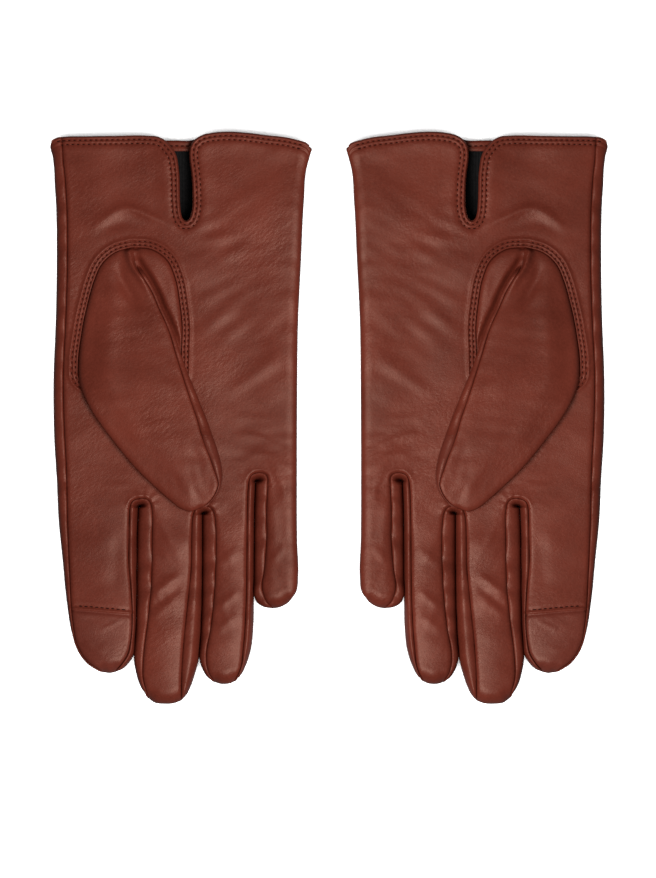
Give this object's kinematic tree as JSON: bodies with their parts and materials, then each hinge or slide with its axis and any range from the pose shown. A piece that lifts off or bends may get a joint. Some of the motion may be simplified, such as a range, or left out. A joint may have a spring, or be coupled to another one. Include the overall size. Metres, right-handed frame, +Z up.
{
  "type": "touchscreen gloves",
  "caption": "Pair of short lined leather dress gloves, palms up, with a palm vent at the cuff and touch pads on thumb and index finger",
  "frame": {"origin": "on the resting surface, midway between the two gloves and midway between the middle fingertips and the cuffs", "axes": "+X across the pair towards the left-hand glove, +Y along the fingers towards the cuffs, +Z up, out of the palms"},
  "size_m": [0.226, 0.234, 0.022],
  "materials": {
    "glove_leather": "soft brown leather with a fine grain",
    "pad_leather": "soft brown conductive leather",
    "lining_knit": "black knit",
    "thread": "dark brown sewing thread"
  },
  "bodies": {
    "right_hand": {"right_trank": "glove_leather", "right_fourchette_forks": "glove_leather", "right_cuff_facing": "glove_leather", "right_vent_binding": "glove_leather", "right_vent_stitching": "thread", "right_side_seam_stitching": "thread", "right_thumb_hole_stitching": "thread", "right_hand_lining": "lining_knit", "right_thumb_gusset": "glove_leather"},
    "right_index": {"right_index_shell": "glove_leather", "right_index_fourchette_pinky_side": "glove_leather", "right_index_touch_pad": "pad_leather", "right_index_pad_stitching": "thread", "right_index_lining": "lining_knit"},
    "right_middle": {"right_middle_shell": "glove_leather", "right_middle_fourchette_thumb_side": "glove_leather", "right_middle_fourchette_pinky_side": "glove_leather", "right_middle_lining": "lining_knit"},
    "right_ring": {"right_ring_shell": "glove_leather", "right_ring_fourchette_thumb_side": "glove_leather", "right_ring_fourchette_pinky_side": "glove_leather", "right_ring_lining": "lining_knit"},
    "right_pinky": {"right_pinky_shell": "glove_leather", "right_pinky_fourchette_thumb_side": "glove_leather", "right_pinky_lining": "lining_knit"},
    "right_thumb": {"right_thumb_front": "glove_leather", "right_thumb_back": "glove_leather", "right_thumb_touch_pad": "pad_leather", "right_thumb_lining": "lining_knit"},
    "left_hand": {"left_trank": "glove_leather", "left_fourchette_forks": "glove_leather", "left_cuff_facing": "glove_leather", "left_vent_binding": "glove_leather", "left_vent_stitching": "thread", "left_side_seam_stitching": "thread", "left_thumb_hole_stitching": "thread", "left_hand_lining": "lining_knit", "left_thumb_gusset": "glove_leather"},
    "left_index": {"left_index_shell": "glove_leather", "left_index_fourchette_pinky_side": "glove_leather", "left_index_touch_pad": "pad_leather", "left_index_pad_stitching": "thread", "left_index_lining": "lining_knit"},
    "left_middle": {"left_middle_shell": "glove_leather", "left_middle_fourchette_thumb_side": "glove_leather", "left_middle_fourchette_pinky_side": "glove_leather", "left_middle_lining": "lining_knit"},
    "left_ring": {"left_ring_shell": "glove_leather", "left_ring_fourchette_thumb_side": "glove_leather", "left_ring_fourchette_pinky_side": "glove_leather", "left_ring_lining": "lining_knit"},
    "left_pinky": {"left_pinky_shell": "glove_leather", "left_pinky_fourchette_thumb_side": "glove_leather", "left_pinky_lining": "lining_knit"},
    "left_thumb": {"left_thumb_front": "glove_leather", "left_thumb_back": "glove_leather", "left_thumb_touch_pad": "pad_leather", "left_thumb_lining": "lining_knit"}
  },
  "joints": [
    {"name": "left_glove_lift", "type": "slide", "parent": "right_hand", "child": "left_hand", "axis": [0, 0, 1], "range_m": [0, 0.06]},
    {"name": "right_index_bend", "type": "hinge", "parent": "right_hand", "child": "right_index", "pos_m": [-0.0944, -0.043, 0.012], "axis": [-1, 0, 0], "range_deg": [0, 85]},
    {"name": "right_middle_bend", "type": "hinge", "parent": "right_hand", "child": "right_middle", "pos_m": [-0.0648, -0.0459, 0.012], "axis": [-1, 0, 0], "range_deg": [0, 85]},
    {"name": "right_ring_bend", "type": "hinge", "parent": "right_hand", "child": "right_ring", "pos_m": [-0.0411, -0.0459, 0.012], "axis": [-1, 0, 0], "range_deg": [0, 85]},
    {"name": "right_pinky_bend", "type": "hinge", "parent": "right_hand", "child": "right_pinky", "pos_m": [-0.0215, -0.0336, 0.012], "axis": [-1, 0, 0], "range_deg": [0, 85]},
    {"name": "right_thumb_bend", "type": "hinge", "parent": "right_hand", "child": "right_thumb", "pos_m": [-0.081, 0.014, 0.022], "axis": [-1, 0, 0], "range_deg": [0, 65]},
    {"name": "left_index_bend", "type": "hinge", "parent": "left_hand", "child": "left_index", "pos_m": [0.0944, -0.043, 0.012], "axis": [-1, 0, 0], "range_deg": [0, 85]},
    {"name": "left_middle_bend", "type": "hinge", "parent": "left_hand", "child": "left_middle", "pos_m": [0.0648, -0.0459, 0.012], "axis": [-1, 0, 0], "range_deg": [0, 85]},
    {"name": "left_ring_bend", "type": "hinge", "parent": "left_hand", "child": "left_ring", "pos_m": [0.0411, -0.0459, 0.012], "axis": [-1, 0, 0], "range_deg": [0, 85]},
    {"name": "left_pinky_bend", "type": "hinge", "parent": "left_hand", "child": "left_pinky", "pos_m": [0.0215, -0.0336, 0.012], "axis": [-1, 0, 0], "range_deg": [0, 85]},
    {"name": "left_thumb_bend", "type": "hinge", "parent": "left_hand", "child": "left_thumb", "pos_m": [0.081, 0.014, 0.022], "axis": [-1, 0, 0], "range_deg": [0, 65]}
  ]
}
